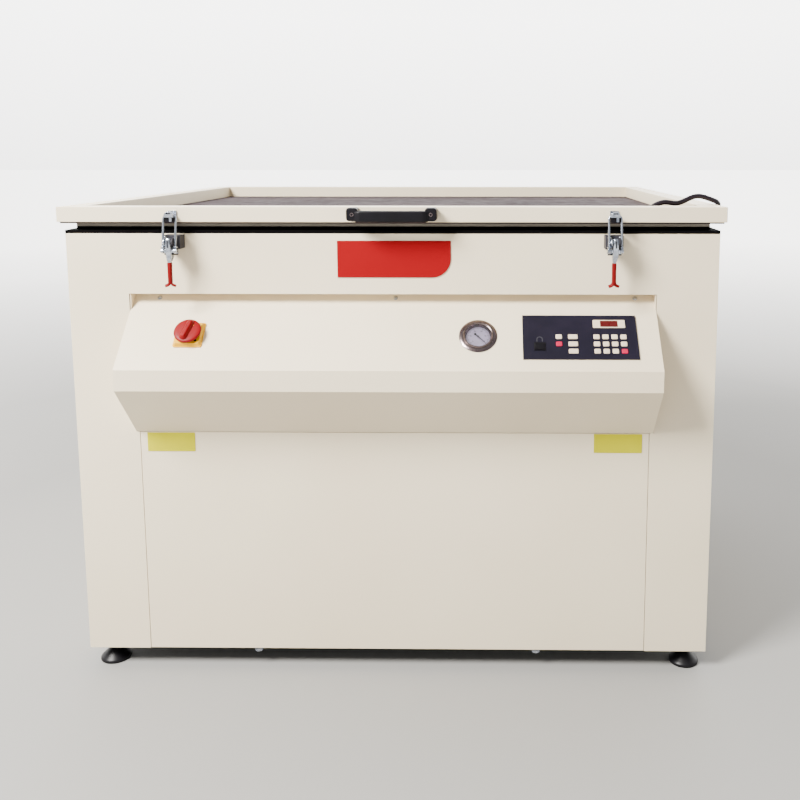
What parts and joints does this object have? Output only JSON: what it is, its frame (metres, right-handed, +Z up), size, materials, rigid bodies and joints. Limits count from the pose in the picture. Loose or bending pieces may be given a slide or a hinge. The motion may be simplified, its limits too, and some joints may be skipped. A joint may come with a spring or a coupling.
{
  "type": "screen printing exposure unit",
  "caption": "Floor-standing screen printing exposure unit: glass-topped cabinet, hinged vacuum blanket lid with toggle latches and a sloping control console.",
  "frame": {"origin": "bottom centre of the whole unit's box, on the floor", "axes": "+X to the operator's right, +Y to the back where the lid is hinged, +Z up"},
  "size_m": [1.452, 1.3005, 1.0607],
  "materials": {
    "cream_powder_coat": "satin",
    "dark_steel": "satin",
    "bright_steel": "satin",
    "zinc_plate": "satin",
    "black_plastic": "satin",
    "black_rubber": "matte",
    "blanket_rubber": "satin",
    "red_plastic": "gloss",
    "red_plate": "gloss",
    "yellow_plate": "satin",
    "navy_overlay": "satin",
    "glass": "gloss",
    "white_enamel": "gloss",
    "aluminium": "satin",
    "board_green": "satin",
    "copper_winding": "satin"
  },
  "bodies": {
    "cabinet": {"base_frame": "dark_steel", "floor_pan": "dark_steel", "front_panel": "cream_powder_coat", "left_side_panel": "cream_powder_coat", "right_side_panel": "cream_powder_coat", "rear_panel": "cream_powder_coat", "top_frame": "dark_steel", "exposure_glass": "glass", "cabinet_gasket": "black_rubber", "console_shell": "cream_powder_coat", "service_panel": "cream_powder_coat", "light_box": "white_enamel", "lamp_house": "bright_steel", "uv_lamp": "glass", "shutter_motor": "copper_winding", "fan_housing": "dark_steel", "exhaust_spigot": "zinc_plate", "vacuum_pump": "aluminium", "vacuum_line": "black_rubber", "hose_bulkhead": "zinc_plate", "ballast": "dark_steel", "contactor_plate": "white_enamel", "control_board": "board_green", "mains_gland": "black_plastic", "control_panel": "navy_overlay", "switch_plate": "yellow_plate", "switch_body": "black_plastic", "gauge_case": "bright_steel", "gauge_lens": "glass", "nameplate": "red_plate", "label_plates": "yellow_plate", "clamp_bases": "zinc_plate", "panel_screws": "bright_steel", "rear_brackets": "dark_steel", "levelling_feet": "black_rubber", "hinge_hose": "black_rubber"},
    "lid": {"lid_frame": "cream_powder_coat", "blanket": "blanket_rubber", "blanket_flange": "aluminium", "lid_seal": "black_rubber", "lid_handle": "black_plastic", "catch_plates": "zinc_plate", "lid_brackets": "dark_steel", "blanket_port": "black_plastic", "vacuum_hose": "black_rubber", "hose_clips": "bright_steel"},
    "lever_left": {"lever_left": "zinc_plate"},
    "lever_right": {"lever_right": "zinc_plate"},
    "bolt_left": {"bolt_left": "zinc_plate"},
    "bolt_right": {"bolt_right": "zinc_plate"},
    "strut_tube_left": {"strut_tube_left": "dark_steel"},
    "strut_tube_right": {"strut_tube_right": "dark_steel"},
    "strut_rod_left": {"strut_rod_left": "bright_steel"},
    "strut_rod_right": {"strut_rod_right": "bright_steel"},
    "switch_knob": {"switch_knob": "red_plastic"},
    "rocker_switch": {"rocker_switch": "black_plastic"},
    "gauge_needle": {"gauge_needle": "black_plastic"},
    "fan_rotor": {"fan_rotor": "black_plastic"},
    "shutter_left": {"shutter_left": "dark_steel"},
    "shutter_right": {"shutter_right": "dark_steel"}
  },
  "joints": [
    {"name": "lid_hinge", "type": "hinge", "parent": "cabinet", "child": "lid", "pos_m": [0, 0.6125, 1.005], "axis": [-1, 0, 0], "range_deg": [0, 50], "deforming": ["hinge_hose"]},
    {"name": "lever_left_pivot", "type": "hinge", "parent": "cabinet", "child": "lever_left", "pos_m": [-0.455, -0.5835, 0.966], "axis": [-1, 0, 0], "range_deg": [0, 90]},
    {"name": "bolt_left_pivot", "type": "hinge", "parent": "lever_left", "child": "bolt_left", "pos_m": [-0.455, -0.5835, 0.948], "axis": [-1, 0, 0], "range_deg": [-73.3, 0]},
    {"name": "strut_left_pivot", "type": "hinge", "parent": "cabinet", "child": "strut_tube_left", "pos_m": [-0.717, 0.5025, 0.635], "axis": [-1, 0, 0], "range_deg": [0, 12.8]},
    {"name": "strut_left_rod", "type": "slide", "parent": "strut_tube_left", "child": "strut_rod_left", "axis": [0, -0.2937, 0.9559], "range_m": [0, 0.158]},
    {"name": "lever_right_pivot", "type": "hinge", "parent": "cabinet", "child": "lever_right", "pos_m": [0.465, -0.5835, 0.966], "axis": [-1, 0, 0], "range_deg": [0, 90]},
    {"name": "bolt_right_pivot", "type": "hinge", "parent": "lever_right", "child": "bolt_right", "pos_m": [0.465, -0.5835, 0.948], "axis": [-1, 0, 0], "range_deg": [-73.3, 0]},
    {"name": "strut_right_pivot", "type": "hinge", "parent": "cabinet", "child": "strut_tube_right", "pos_m": [0.717, 0.5025, 0.635], "axis": [-1, 0, 0], "range_deg": [0, 12.8]},
    {"name": "strut_right_rod", "type": "slide", "parent": "strut_tube_right", "child": "strut_rod_right", "axis": [0, -0.2937, 0.9559], "range_m": [0, 0.158]},
    {"name": "main_switch", "type": "hinge", "parent": "cabinet", "child": "switch_knob", "pos_m": [-0.42, -0.5824, 0.7701], "axis": [0, -0.7071, 0.7071], "range_deg": [0, 90]},
    {"name": "rocker", "type": "hinge", "parent": "cabinet", "child": "rocker_switch", "pos_m": [0.3105, -0.60255, 0.75207], "axis": [1, 0, 0], "range_deg": [-16, 0]},
    {"name": "needle", "type": "hinge", "parent": "cabinet", "child": "gauge_needle", "pos_m": [0.183, -0.5824, 0.7701], "axis": [0, -0.7071, 0.7071], "range_deg": [0, 260]},
    {"name": "fan", "type": "hinge", "parent": "cabinet", "child": "fan_rotor", "pos_m": [-0.3, 0.5568, 0.3], "axis": [0, 1, 0], "continuous": true},
    {"name": "shutter_left_pivot", "type": "hinge", "parent": "cabinet", "child": "shutter_left", "pos_m": [-0.166, 0.0225, 0.308], "axis": [0, -1, 0], "range_deg": [0, 75]},
    {"name": "shutter_right_pivot", "type": "hinge", "parent": "cabinet", "child": "shutter_right", "pos_m": [0.166, 0.0225, 0.308], "axis": [0, 1, 0], "range_deg": [0, 75]}
  ],
  "couplings": [
    {"joint": "bolt_left_pivot", "follows": "lever_left_pivot", "ratio": -0.814},
    {"joint": "strut_left_pivot", "follows": "lid_hinge", "ratio": 0.25412},
    {"joint": "strut_left_rod", "follows": "lid_hinge", "m_per_rad": 0.18088},
    {"joint": "bolt_right_pivot", "follows": "lever_right_pivot", "ratio": -0.814},
    {"joint": "strut_right_pivot", "follows": "lid_hinge", "ratio": 0.25412},
    {"joint": "strut_right_rod", "follows": "lid_hinge", "m_per_rad": 0.18088},
    {"joint": "shutter_right_pivot", "follows": "shutter_left_pivot", "ratio": 1}
  ]
}
